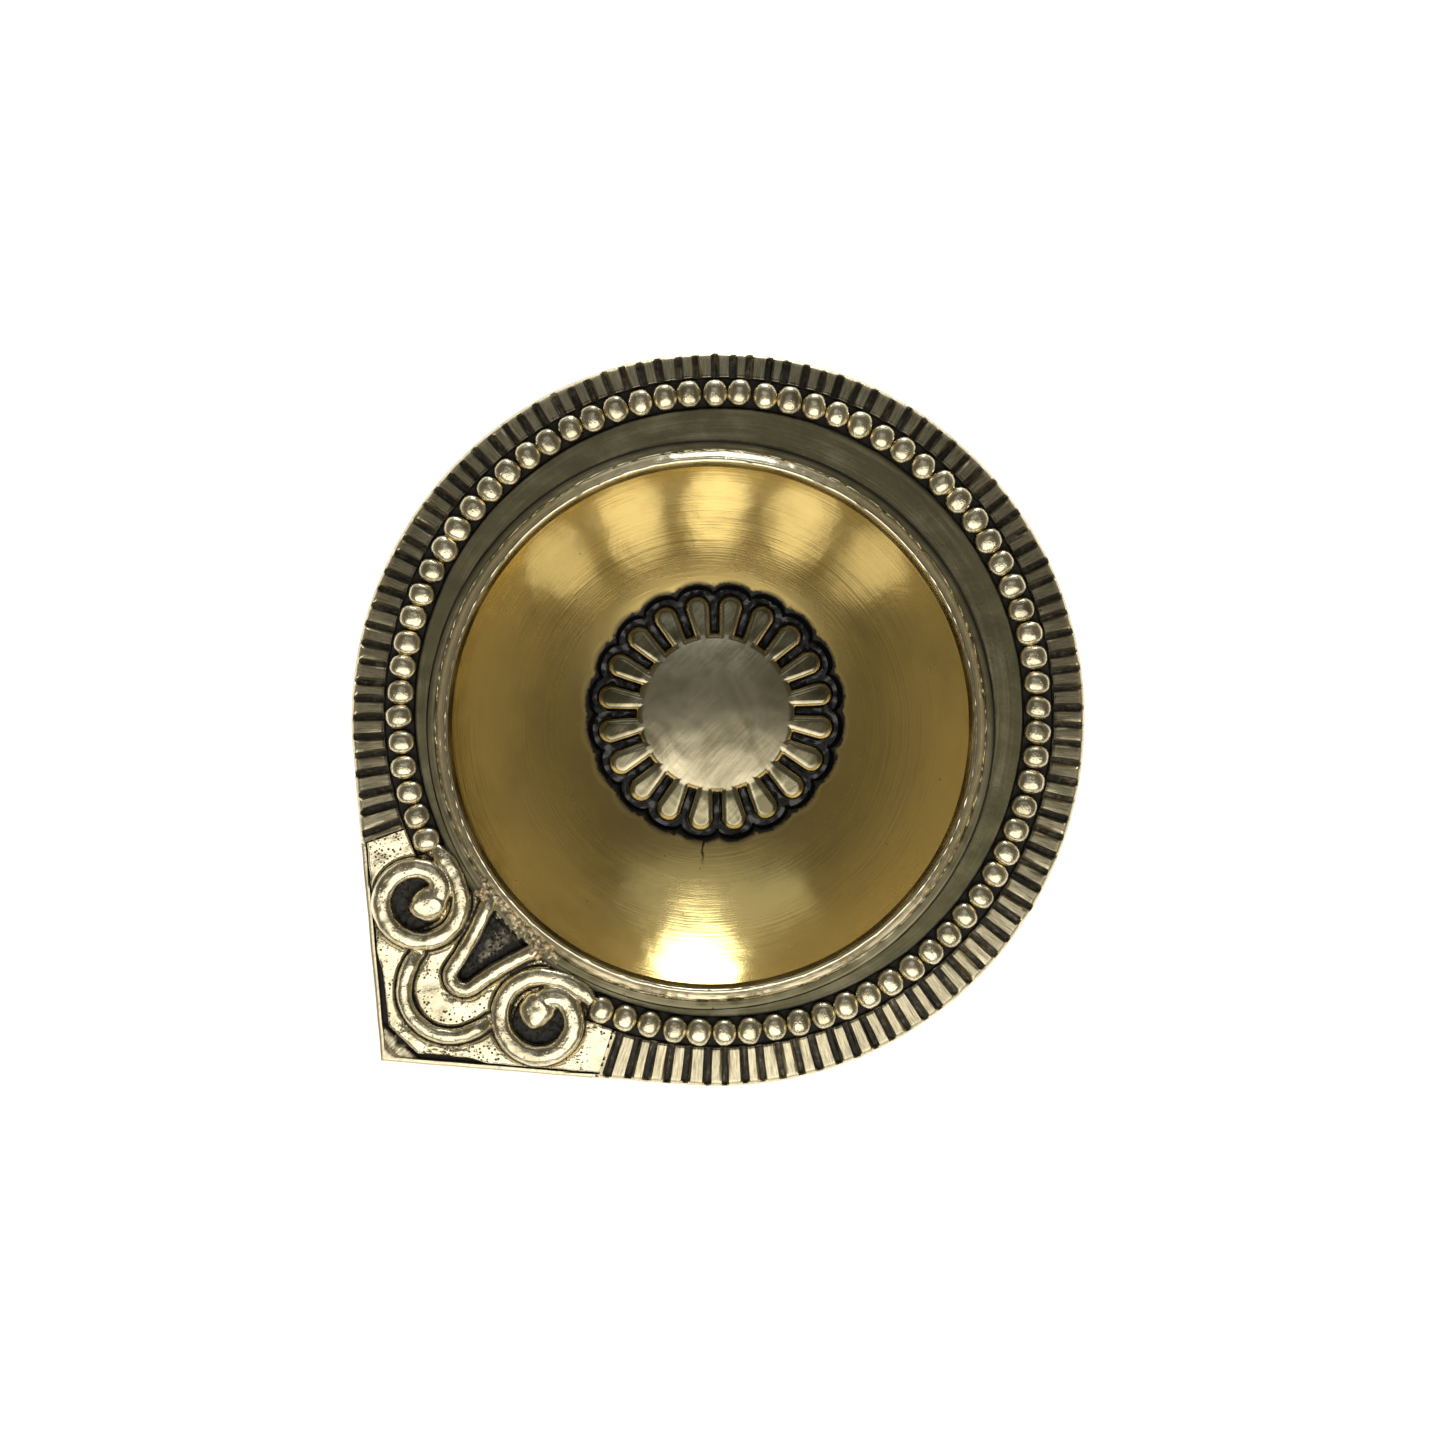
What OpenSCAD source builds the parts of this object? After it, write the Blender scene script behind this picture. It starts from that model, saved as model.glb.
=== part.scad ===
// Brass diya: a small oil lamp with a turned bowl set in a teardrop rim on a ring foot.
// Millimetres, +Z up. The origin is the centre of the foot's rest face, and the spout points to -Y.

/* [Rim] */
// Radius of the round part of the rim
rim_r = 38; // [37.5:0.1:38.5]
// Distance from the lamp's axis to the tip of the spout
tip_reach = 50.3; // [49.5:0.1:51]
// Height of the flat band round the bowl
band_z = 25; // [25:0.1:26]
// Underside of the rim
rim_bottom_z = 20.8; // [20.4:0.1:21]
// Fall of the fluted border towards its edge, in degrees
flute_fall = 16; // [14:1:17]
// Fall of the spout towards its tip, in degrees
spout_fall = 7; // [6:0.5:7.5]

/* [Ornament] */
// Places for beads round the full circle
bead_places = 80; // [78:1:80]
// Radius of the circle that the beads stand on
bead_ring_r = 33.05; // [33:0.01:33.1]
// Radius of one bead
bead_r = 1.2; // [1.1:0.05:1.25]
// Places for flutes round the full circle
flute_places = 120; // [90:1:120]
// Width of one flute
flute_w = 0.8; // [0.6:0.05:0.9]
// Petals of the rosette
petals = 20; // [16:1:20]
// Width of the scroll cord
scroll_w = 1.8; // [1.6:0.05:1.9]
// Width of the cords round the wick channel and the spout
cord_w = 1.5; // [1.3:0.05:1.6]

/* [Bowl] */
// Radius of the bowl at its crest
lip_r = 27.4; // [27.2:0.1:27.6]
// Radius of the hollow's sphere
hollow_r = 31.5; // [31:0.1:32]
// Thickness of the bowl's wall
wall = 1.7; // [1.5:0.1:1.8]

/* [Foot] */
// Radius of the foot where it rests
foot_r = 21; // [19:0.5:23]
// Radius of the rivet stud
stud_r = 2; // [1.5:0.1:2.5]

/* [Hidden] */
$fn = 96;
eps = 0.01;

brass = [0.78, 0.66, 0.38];
polished = [0.83, 0.66, 0.27];
dark_brass = [0.42, 0.36, 0.2];
solder_tint = [0.8, 0.5, 0.25];
lac_black = [0.03, 0.03, 0.04];

// The round part of the outline is a little off the lamp's axis, as filed by hand.
outline_at = [0.5, -0.55];
// The bowl's axis stands nearer to the spout than the lamp's axis.
bowl_at = [0.3, -1.6];

// Rim, from the bowl outwards
seat_z = 22.6;
collar_r = 29;
opening_r = collar_r + 0.35;
ledge_r = 28.1;
channel_in_r = 31.5;
channel_out_r = 34.6;
channel_z = band_z - 1;
channel_end_angle = 20.3;
border_r = channel_out_r;
flute_margin = 0.5;
flute_depth = 0.85;
spout_half_angle = 25.5;
under_in_r = 31;
under_out_r = 35.5;
under_z = 22.2;
far = 60;

// Spout: its top plane turns about a line at this Y
spout_hinge_y = -29.5;
plate_t = 1.2;
plate_margin = 0.5;
plate_gap = 0.3;
margin_drop = 0.15;
tip_cut_y = -47.2;
recess_depth = 1.6;

// Cords: a start, a heading in degrees, and tangent arcs as [radius, sweep]
scroll_start = [11.45, -30.6];
scroll_heading = 173.5;
scroll_arcs = [[7.3, 47.5], [4.15, 155], [3.7, 99], [3.15, 56], [1.8, 102], [1.6, 97]];
eye_r = 1.45;
blunt_end = 0.15;
eye_h_limit = 1.3;
vee_start = [0, -39.4];
vee_arcs = [[1.4, 81], [33, -13], [8, -10]];
bow_start = [0, -44.9];
bow_arcs = [[4.8, 62], [8.5, 20]];
scroll_h = 0.95;
cord_h = 0.8;
ring_step = 0.7;

// Bowl and what is fixed in it
lip_z = band_z + 0.7;
lip_slope_r = 28.7;
hollow_z = lip_z + sqrt(hollow_r * hollow_r - lip_r * lip_r);
shell_r = hollow_r + wall;
floor_z = 11;
lac_z = 12;
lobe_r = 1.75;
lobe_at = 11.9;
disc_r = 8.3;
disc_top_z = 14.3;
disc_edge_z = 14;
petal_tip_r = 12.5;
petal_tip_z = 12.6;
petal_round = 0.5;
petal_in_w = 1.8;
petal_out_w = 2.5;

// Foot and rivet
web_z = 5.6;
foot_wall = 2.4;
foot_waist_r = 14.2;
foot_waist_z = 6.5;
foot_top_r = 15.6;
washer_r = 4.6;
washer_t = 1;
head_r = 3.4;
head_h = 1.1;

function polar(r, a) = [r * cos(a), r * sin(a)];
// The point on the left (side = -1) or right (side = 1) where the outline leaves its circle for the tip
function touch_point(side, r) =
    let (d = [0, -tip_reach] - outline_at, reach = norm(d))
    outline_at + polar(r, atan2(d.y, d.x) + side * acos(r / reach));
// How far the outline's circle is from the lamp's axis in the direction a
function rim_reach(a) =
    let (u = polar(1, a), b = outline_at * u)
    b + sqrt(b * b - outline_at * outline_at + rim_r * rim_r);

// Points, headings and lengths along a chain of tangent arcs
function arc_centre(p, h, r, s) = p + sign(s) * r * [-sin(h), cos(h)];
function arc_steps(arc) = max(2, ceil(abs(arc[1]) * PI / 180 * arc[0] / ring_step));
function arc_points(p, h, arc) =
    let (c = arc_centre(p, h, arc[0], arc[1]), n = arc_steps(arc), a0 = h - sign(arc[1]) * 90)
    [for (k = [0:n]) let (s = arc[1] * k / n) [c + polar(arc[0], a0 + s), h + s]];
function chain(p, h, arcs, i = 0) =
    let (run = arc_points(p, h, arcs[i]), last = run[len(run) - 1])
    i == len(arcs) - 1 ? run
    : concat([for (k = [0:len(run) - 2]) run[k]], chain(last[0], last[1], arcs, i + 1));
function reverse(v) = [for (k = [len(v) - 1:-1:0]) v[k]];
function mirrored(v) = [for (q = v) [[-q[0].x, q[0].y], 180 - q[1]]];
// A path that runs in on the left, through the start of its half, and out on the right
function both_sides(half) =
    concat([for (q = reverse(mirrored(half))) if (q[0].x < -eps) [q[0], q[1] - 180]], half);
function to_left(q, d) = q[0] + d * [-sin(q[1]), cos(q[1])];

// Half-round section of a cord, from its right foot over the crown to its left foot
section = [for (a = [0:30:180]) [-cos(a), pow(sin(a), 0.8)]];
function ring_points(q, w, h) =
    [for (s = section) let (p = to_left(q, s.x * w / 2)) [p.x, p.y, s.y * h]];

module sweep(path, widths, heights) {
    n = len(section);
    rings = len(path);
    points = [for (k = [0:rings - 1]) each ring_points(path[k], widths[k], heights[k])];
    start = [[for (i = [0:n - 1]) i]];
    finish = [[for (i = [n - 1:-1:0]) (rings - 1) * n + i]];
    sides = [for (k = [0:rings - 2], i = [0:n - 1])
             let (j = (i + 1) % n)
             each [[k * n + j, k * n + i, (k + 1) * n + i], [k * n + j, (k + 1) * n + i, (k + 1) * n + j]]];
    polyhedron(points, concat(start, finish, sides), convexity = 6);
}

module plain_cord(path, w, h) {
    sweep(path, [for (q = path) w], [for (q = path) h]);
}

// Puts its children on the plane of the spout, where local z is 0
module on_spout() {
    translate([0, spout_hinge_y, band_z])
        rotate([spout_fall, 0, 0])
            translate([0, -spout_hinge_y, 0])
                children();
}

module teardrop(inset) {
    r = rim_r - inset;
    d = [0, -tip_reach] - outline_at;
    tip = [0, -tip_reach] - inset * rim_r / (rim_r * rim_r / norm(d)) * d / norm(d);
    left = touch_point(-1, rim_r);
    right = touch_point(1, rim_r);
    translate(outline_at)
        circle(r);
    polygon([outline_at, outline_at + (left - outline_at) * r / rim_r, tip,
             outline_at + (right - outline_at) * r / rim_r]);
}

module spout_sector(half_angle) {
    polygon([[0, 0], polar(far, -90 - half_angle), [0, -far * 1.1], polar(far, -90 + half_angle)]);
}

// Rim -----------------------------------------------------------------------

module flange_profile() {
    drop = (far - border_r) * tan(flute_fall);
    polygon([[0, 0], [far, 0], [far, band_z - drop], [border_r, band_z], [0, band_z]]);
}

module flute() {
    rotate([0, flute_fall, 0])
        translate([0, 0, -flute_depth])
            linear_extrude(2 * flute_depth)
                children();
}

module flutes() {
    step = 360 / flute_places;
    first = -90 + spout_half_angle + step / 2;
    for (a = [first:step:first + 360 - 2 * spout_half_angle - step / 2]) {
        length = (rim_reach(a) - border_r - flute_margin) / cos(flute_fall) - 0.4;
        rotate([0, 0, a])
            translate([border_r, 0, band_z])
                flute()
                    translate([0.4, 0]) {
                        translate([0, -flute_w / 2])
                            square([length - flute_w / 2, flute_w]);
                        translate([length - flute_w / 2, 0])
                            circle(flute_w / 2);
                    }
    }
}

// The ring that holds the beads, open where the scrolls begin
module channel_plan() {
    difference() {
        circle(channel_out_r);
        circle(channel_in_r);
        spout_sector(channel_end_angle);
    }
}

module plate_outline(inset) {
    difference() {
        intersection() {
            teardrop(inset);
            spout_sector(spout_half_angle - 0.3);
            translate([-far, tip_cut_y - (inset > plate_margin ? 0 : 3)])
                square([2 * far, far]);
        }
        circle(channel_in_r);
        channel_plan();
    }
}

module wick_recess() {
    half = chain(vee_start, 0, vee_arcs);
    path = both_sides(half);
    polygon([for (q = path) to_left(q, cord_w / 2)]);
}

module rim_casting() {
    color(dark_brass)
        difference() {
            union() {
                intersection() {
                    linear_extrude(far)
                        teardrop(0);
                    translate([0, 0, rim_bottom_z])
                        cylinder(r = far, h = far);
                    rotate_extrude()
                        flange_profile();
                }
                intersection() {
                    translate([0, 0, rim_bottom_z])
                        linear_extrude(far)
                            intersection() {
                                teardrop(0);
                                spout_sector(spout_half_angle);
                            }
                    on_spout()
                        translate([-far, -far, -far - margin_drop])
                            cube([2 * far, far, far]);
                }
            }
            translate([bowl_at.x, bowl_at.y, 0])
                cylinder(r = ledge_r, h = far);
            translate([bowl_at.x, bowl_at.y, seat_z])
                cylinder(r = opening_r, h = far);
            translate([0, 0, channel_z])
                linear_extrude(far)
                    channel_plan();
            flutes();
            on_spout()
                translate([0, 0, -plate_t])
                    linear_extrude(2 * plate_t)
                        plate_outline(plate_margin);
            on_spout()
                translate([0, 0, -recess_depth])
                    linear_extrude(2 * recess_depth)
                        wick_recess();
            difference() {
                translate([0, 0, rim_bottom_z - 1])
                    cylinder(r = under_out_r, h = under_z - rim_bottom_z + 1);
                translate([bowl_at.x, bowl_at.y, rim_bottom_z - 2])
                    cylinder(r = under_in_r, h = 5);
            }
        }
}

module bead() {
    shank = 0.5;
    cylinder(r = bead_r, h = shank);
    translate([0, 0, shank])
        sphere(bead_r);
}

module bead_row() {
    step = 360 / bead_places;
    beads = bead_places - 2 * floor(spout_half_angle / step) + 1;
    first = -90 - step * (beads - 1) / 2 + 180;
    color(brass)
        for (k = [0:beads - 1])
            rotate([0, 0, first + k * step])
                translate([bead_ring_r, 0, channel_z])
                    intersection() {
                        bead();
                        cylinder(r = 2 * bead_r, h = 3 * bead_r);
                    }
}

// Spout ornament --------------------------------------------------------------

module spout_plate() {
    color(brass)
        on_spout()
            translate([0, 0, -plate_t])
                linear_extrude(plate_t)
                    difference() {
                        plate_outline(plate_margin + plate_gap);
                        wick_recess();
                    }
}

// Half-width of a scroll cord: even along its run, then a neck that swells into a ball at its end
function path_lengths(path, i = 0, sum = 0) =
    i == len(path) - 1 ? [sum]
    : concat([sum], path_lengths(path, i + 1, sum + norm(path[i + 1][0] - path[i][0])));
function scroll_half_width(s, total) =
    let (d = total - eye_r - s, run = d > 0 ? scroll_w / 2 * min(1, 0.65 + s / 4) : 0)
    max(run, sqrt(max(eye_r * eye_r - d * d, blunt_end * blunt_end)));

module scroll() {
    path = chain(scroll_start, scroll_heading, scroll_arcs);
    lengths = path_lengths(path);
    total = lengths[len(lengths) - 1];
    halves = [for (s = lengths) scroll_half_width(s, total)];
    on_spout()
        sweep(path, 2 * halves, [for (w = halves) min(w, eye_h_limit) * scroll_h / (scroll_w / 2)]);
}

module scroll_right() {
    color(brass)
        scroll();
}

module scroll_left() {
    color(brass)
        mirror([1, 0, 0])
            scroll();
}

module wick_channel_cord() {
    color(brass)
        on_spout()
            plain_cord(both_sides(chain(vee_start, 0, vee_arcs)), cord_w, cord_h);
}

module spout_cord() {
    color(brass)
        on_spout()
            plain_cord(both_sides(chain(bow_start, 0, bow_arcs)), cord_w, cord_h);
}

// Bowl --------------------------------------------------------------------------

module lobed_seat() {
    circle(lobe_at);
    for (k = [0:petals - 1])
        rotate(k * 360 / petals)
            translate([lobe_at, 0])
                circle(lobe_r);
}

module bowl() {
    color(polished)
        difference() {
            translate([bowl_at.x, bowl_at.y, 0])
                difference() {
                    union() {
                        intersection() {
                            translate([0, 0, hollow_z])
                                sphere(shell_r);
                            cylinder(r = far, h = seat_z);
                        }
                        translate([0, 0, seat_z])
                            cylinder(r = collar_r, h = band_z - seat_z);
                        translate([0, 0, band_z])
                            cylinder(r1 = lip_slope_r, r2 = lip_r, h = lip_z - band_z);
                    }
                    intersection() {
                        translate([0, 0, hollow_z])
                            sphere(hollow_r);
                        translate([0, 0, floor_z])
                            cylinder(r = far, h = far);
                    }
                }
            translate([0, 0, floor_z])
                linear_extrude(3)
                    lobed_seat();
            cylinder(r = stud_r, h = far);
        }
}

module lip_solder() {
    reach = 15;
    drops = [[-4.4, -30.3], [3.5, -30.9]];
    color(solder_tint)
        difference() {
            union() {
                translate([bowl_at.x, bowl_at.y, seat_z])
                    rotate([0, 0, -90 - reach])
                        rotate_extrude(angle = 2 * reach)
                            translate([collar_r, 0])
                                square([opening_r - collar_r, band_z - seat_z]);
                for (p = drops)
                    translate([p.x, p.y, band_z])
                        intersection() {
                            sphere(0.9);
                            cylinder(r = 1, h = 1);
                        }
            }
            translate([bowl_at.x, bowl_at.y, 0])
                cylinder(r = collar_r, h = far);
        }
}

// Rosette, held by its own stud, which is riveted over under the foot -------------

// One petal seen from above, along +X: it widens outwards to a round end
module petal() {
    end = petal_tip_r - petal_out_w / 2;
    polygon([[0, -petal_in_w / 2], [disc_r, -petal_in_w / 2], [end, -petal_out_w / 2],
             [end, petal_out_w / 2], [disc_r, petal_in_w / 2], [0, petal_in_w / 2]]);
    translate([end, 0])
        circle(petal_out_w / 2);
}

module rosette_profile() {
    polygon([[0, floor_z], [petal_tip_r, floor_z], [petal_tip_r, petal_tip_z - petal_round],
             [petal_tip_r - petal_round, petal_tip_z], [disc_r, disc_edge_z],
             [disc_r / 2, disc_top_z - (disc_top_z - disc_edge_z) / 4], [0, disc_top_z]]);
}

module rosette_body() {
    intersection() {
        translate([0, 0, floor_z])
            linear_extrude(far) {
                circle(disc_r);
                for (k = [0:petals - 1])
                    rotate(k * 360 / petals)
                        petal();
            }
        rotate_extrude()
            rosette_profile();
    }
}

module rosette() {
    head_z = web_z - washer_t;
    head_cap_r = (head_r * head_r + head_h * head_h) / (2 * head_h);
    color(brass) {
        rosette_body();
        translate([0, 0, head_z - eps])
            cylinder(r = stud_r, h = floor_z - head_z + 2 * eps);
        intersection() {
            translate([0, 0, head_z - head_h + head_cap_r])
                sphere(head_cap_r);
            translate([0, 0, head_z - head_h])
                cylinder(r = head_r, h = head_h);
        }
    }
}

module rosette_lac() {
    color(lac_black)
        difference() {
            translate([0, 0, floor_z])
                linear_extrude(lac_z - floor_z)
                    lobed_seat();
            rosette_body();
        }
}

// Foot ----------------------------------------------------------------------------

module foot_profile() {
    cove_r = foot_waist_z - 2;
    difference() {
        polygon([[0, web_z], [foot_waist_r - foot_wall, web_z], [foot_r - foot_wall, 0], [foot_r, 0],
                 [foot_r, 1.6], [foot_r - 0.8, 2], [foot_waist_r + cove_r, 2], [foot_waist_r, foot_waist_z],
                 [foot_top_r, foot_waist_z + 2.4], [foot_top_r, 13], [0, 13]]);
        translate([foot_waist_r + cove_r, foot_waist_z])
            circle(cove_r);
    }
}

module foot() {
    color(dark_brass)
        difference() {
            rotate_extrude()
                foot_profile();
            translate([bowl_at.x, bowl_at.y, hollow_z])
                sphere(shell_r);
            cylinder(r = stud_r, h = far);
        }
}

module rivet_washer() {
    color(brass)
        translate([0, 0, web_z - washer_t])
            difference() {
                cylinder(r = washer_r, h = washer_t);
                translate([0, 0, -1])
                    cylinder(r = stud_r, h = washer_t + 2);
            }
}

rim_casting();
bead_row();
spout_plate();
scroll_left();
scroll_right();
wick_channel_cord();
spout_cord();
bowl();
lip_solder();
rosette();
rosette_lac();
foot();
rivet_washer();
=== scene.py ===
"""Brass diya: the finished pieces of a small oil lamp, their finishes, and the table they are seen on."""

import math
import random

import bmesh
import bpy
from mathutils import Matrix, Vector, noise
from mathutils.kdtree import KDTree


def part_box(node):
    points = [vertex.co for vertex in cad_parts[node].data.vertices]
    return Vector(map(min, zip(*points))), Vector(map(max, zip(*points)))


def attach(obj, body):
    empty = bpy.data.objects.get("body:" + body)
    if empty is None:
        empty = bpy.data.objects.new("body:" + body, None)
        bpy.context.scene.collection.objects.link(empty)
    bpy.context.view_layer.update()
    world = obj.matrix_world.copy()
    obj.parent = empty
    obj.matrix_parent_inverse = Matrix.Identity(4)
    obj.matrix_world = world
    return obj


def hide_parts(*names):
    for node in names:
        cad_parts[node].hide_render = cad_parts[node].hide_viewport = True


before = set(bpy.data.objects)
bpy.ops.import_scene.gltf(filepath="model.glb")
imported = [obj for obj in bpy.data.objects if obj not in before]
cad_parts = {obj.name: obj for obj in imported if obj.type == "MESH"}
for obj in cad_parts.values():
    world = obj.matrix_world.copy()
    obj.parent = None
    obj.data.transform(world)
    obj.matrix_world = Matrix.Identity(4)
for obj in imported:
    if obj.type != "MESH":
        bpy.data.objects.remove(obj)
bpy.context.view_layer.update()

bl_info = {
    "name": "Brass Diya",
    "version": (1, 0, 0),
    "blender": (4, 5, 0),
    "location": "3D View > Sidebar > Diya",
    "description": "Builds the visible pieces of a cast and turned brass oil lamp",
    "category": "Mesh",
}

MM = 0.001
UP = Vector((0, 0, 1))
# Vector noise starts from the clock unless it is seeded
noise.seed_set(7)

# The lamp, in millimetres, as its frame has it. First the rim
BAND_Z = 25.0
RIM_BOTTOM_Z = 20.8
RIM_R = 38.0
TIP = Vector((0.0, -50.3))
OUTLINE_AT = Vector((0.5, -0.55))
BOWL_AT = Vector((0.3, -1.6))
OPENING_R = 29.35
SEAT_Z = 22.6
CHANNEL_IN_R = 31.5
CHANNEL_OUT_R = 34.6
CHANNEL_END = 20.3
SPOUT_HALF = 25.5
FLUTE_PITCH = 3.0
FLUTE_FALL = math.tan(math.radians(16.0))
# The spout, its plate and its cords' outlines
SPOUT_HINGE_Y = -29.5
SPOUT_FALL = math.radians(7.0)
PLATE_MARGIN = 0.5
MARGIN_DROP = 0.15
BED_DEPTH = 1.05
TIP_CUT_Y = -47.2
RIM_RECESS = 1.5
PLATE_RECESS = 1.05
GROOVE_DEPTH = 0.34
SCROLL_SIDE = 1.0
CORD_SIDE = 0.82
# The bowl, its lip and collar
HOLLOW_R = 31.5
LIP_R = 27.4
LIP_Z = 25.7
HOLLOW_Z = LIP_Z + math.sqrt(HOLLOW_R**2 - LIP_R**2)
SHELL_R = 33.2
FITTED_R = 29.32
FLATTER_R = 15.0
FLATTER = 0.00103
FLOOR_Z = 11.0
# The lobed seat, the lac in it and the rosette
LAC_Z = 11.75
SEAT_R = 13.0
PETAL_Z = 13.88
PETALS = 20
PETAL_TIP_R = 12.6
DISC_R = 8.3
DISC_TOP_Z = 14.3
PETAL_IN_W = 1.95
PETAL_OUT_W = 2.75
LOBE_R = 1.75
LOBE_AT = 11.9
# Foot and rivet
WEB_Z = 5.6
STUD_R = 2.0
HEAD_R = 3.4
# Relief: beads, the scrolls' eyes, and how square their sections are
BEADS = 71
BEAD_PITCH = 4.5
BEAD_RING_R = 33.05
EYE_R = 1.8
EYE_H = 1.25
BARREL = 0.82
# Marks of wear and repair
CRACK_WAY = Vector((0.627, -0.779))
SOLDER_DROPS = ((-4.4, -30.3), (3.5, -30.9))

# Cords: a start, a heading in degrees, and tangent arcs as (radius, sweep)
SCROLL = ((11.45, -30.6), 173.5, ((7.3, 47.5), (4.15, 155), (3.7, 99), (3.15, 56), (1.8, 102), (1.6, 97)))
VEE = ((0.0, -39.4), 0.0, ((1.4, 81), (33, -13), (8, -10)))
BOW = ((0.0, -44.9), 0.0, ((4.8, 62), (8.5, 20)))


# Sizes and colours that a user would change ------------------------------------


class DiyaSizes(bpy.types.PropertyGroup):
    """Sizes of the ornament and of its wear."""

    bead_long: bpy.props.FloatProperty(
        name="Bead length", description="Half of a bead's size across the ring", default=1.47 * MM,
        unit="LENGTH")
    bead_wide: bpy.props.FloatProperty(
        name="Bead width", description="Half of a bead's size along the ring", default=1.29 * MM,
        unit="LENGTH")
    flute_depth: bpy.props.FloatProperty(
        name="Flute depth", description="Depth of the flutes in the border", default=0.8 * MM, unit="LENGTH")
    scroll_width: bpy.props.FloatProperty(
        name="Scroll width", description="Width of the scroll cords", default=2.0 * MM, unit="LENGTH")
    cord_width: bpy.props.FloatProperty(
        name="Cord width", description="Width of the spout's cords", default=1.65 * MM, unit="LENGTH")
    unevenness: bpy.props.FloatProperty(
        name="Unevenness", description="How far hand work strays from true", default=0.07 * MM, unit="LENGTH")


class DiyaColours(bpy.types.PropertyGroup):
    """Colours of the metals and fillers."""

    bright: bpy.props.FloatVectorProperty(
        name="Bright brass", description="Brass where it is rubbed", subtype="COLOR", size=3,
        default=(0.9, 0.82, 0.6))
    gold: bpy.props.FloatVectorProperty(
        name="Polished brass", description="Brass of the turned bowl", subtype="COLOR", size=3,
        default=(0.81, 0.63, 0.25))
    olive: bpy.props.FloatVectorProperty(
        name="Dull brass", description="Brass under a thin brown film", subtype="COLOR", size=3,
        default=(0.15, 0.138, 0.08))
    patina: bpy.props.FloatVectorProperty(
        name="Patina", description="The dark film in the hollows", subtype="COLOR", size=3,
        default=(0.016, 0.014, 0.011))
    copper: bpy.props.FloatVectorProperty(
        name="Brazing", description="Brazing alloy", subtype="COLOR", size=3, default=(0.86, 0.6, 0.34))
    lac: bpy.props.FloatVectorProperty(
        name="Lac", description="Black filler round the rosette", subtype="COLOR", size=3,
        default=(0.006, 0.007, 0.01))


class DiyaStage(bpy.types.PropertyGroup):
    """Camera, light and floor."""

    distance: bpy.props.FloatProperty(
        name="Camera distance", description="From the rim to the camera", default=0.55, unit="LENGTH")
    view_width: bpy.props.FloatProperty(
        name="View width", description="What the picture takes in across the rim", default=0.1487,
        unit="LENGTH")
    turn: bpy.props.FloatProperty(
        name="Turn", description="Turn of the picture's right from +X", default=math.radians(44.1),
        subtype="ANGLE")
    lean: bpy.props.FloatProperty(
        name="Lean", description="How far the camera leans from straight above",
        default=math.radians(2.0), subtype="ANGLE")


# Shader expressions -------------------------------------------------------------


class Wire:
    """A shader value. Arithmetic on it adds Math nodes."""

    def __init__(self, finish, socket):
        self.finish = finish
        self.socket = socket

    def math(self, operation, *values):
        return self.finish.add("ShaderNodeMath", {"operation": operation}, dict(enumerate(values)))

    def __add__(self, other):
        return self.math("ADD", self, other)

    def __radd__(self, other):
        return self.math("ADD", other, self)

    def __sub__(self, other):
        return self.math("SUBTRACT", self, other)

    def __rsub__(self, other):
        return self.math("SUBTRACT", other, self)

    def __mul__(self, other):
        return self.math("MULTIPLY", self, other)

    def __rmul__(self, other):
        return self.math("MULTIPLY", other, self)

    def __truediv__(self, other):
        return self.math("DIVIDE", self, other)

    def __pow__(self, other):
        return self.math("POWER", self, other)

    def fade(self, low, high):
        """0 at low, 1 at high, and smooth between."""
        return self.finish.add(
            "ShaderNodeMapRange", {"interpolation_type": "SMOOTHSTEP"},
            {"Value": self, "From Min": low, "From Max": high})

    def clamp(self):
        return self.finish.add("ShaderNodeClamp", {}, {"Value": self})

    def at_least(self, low):
        return self.math("MAXIMUM", self, low)


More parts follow.
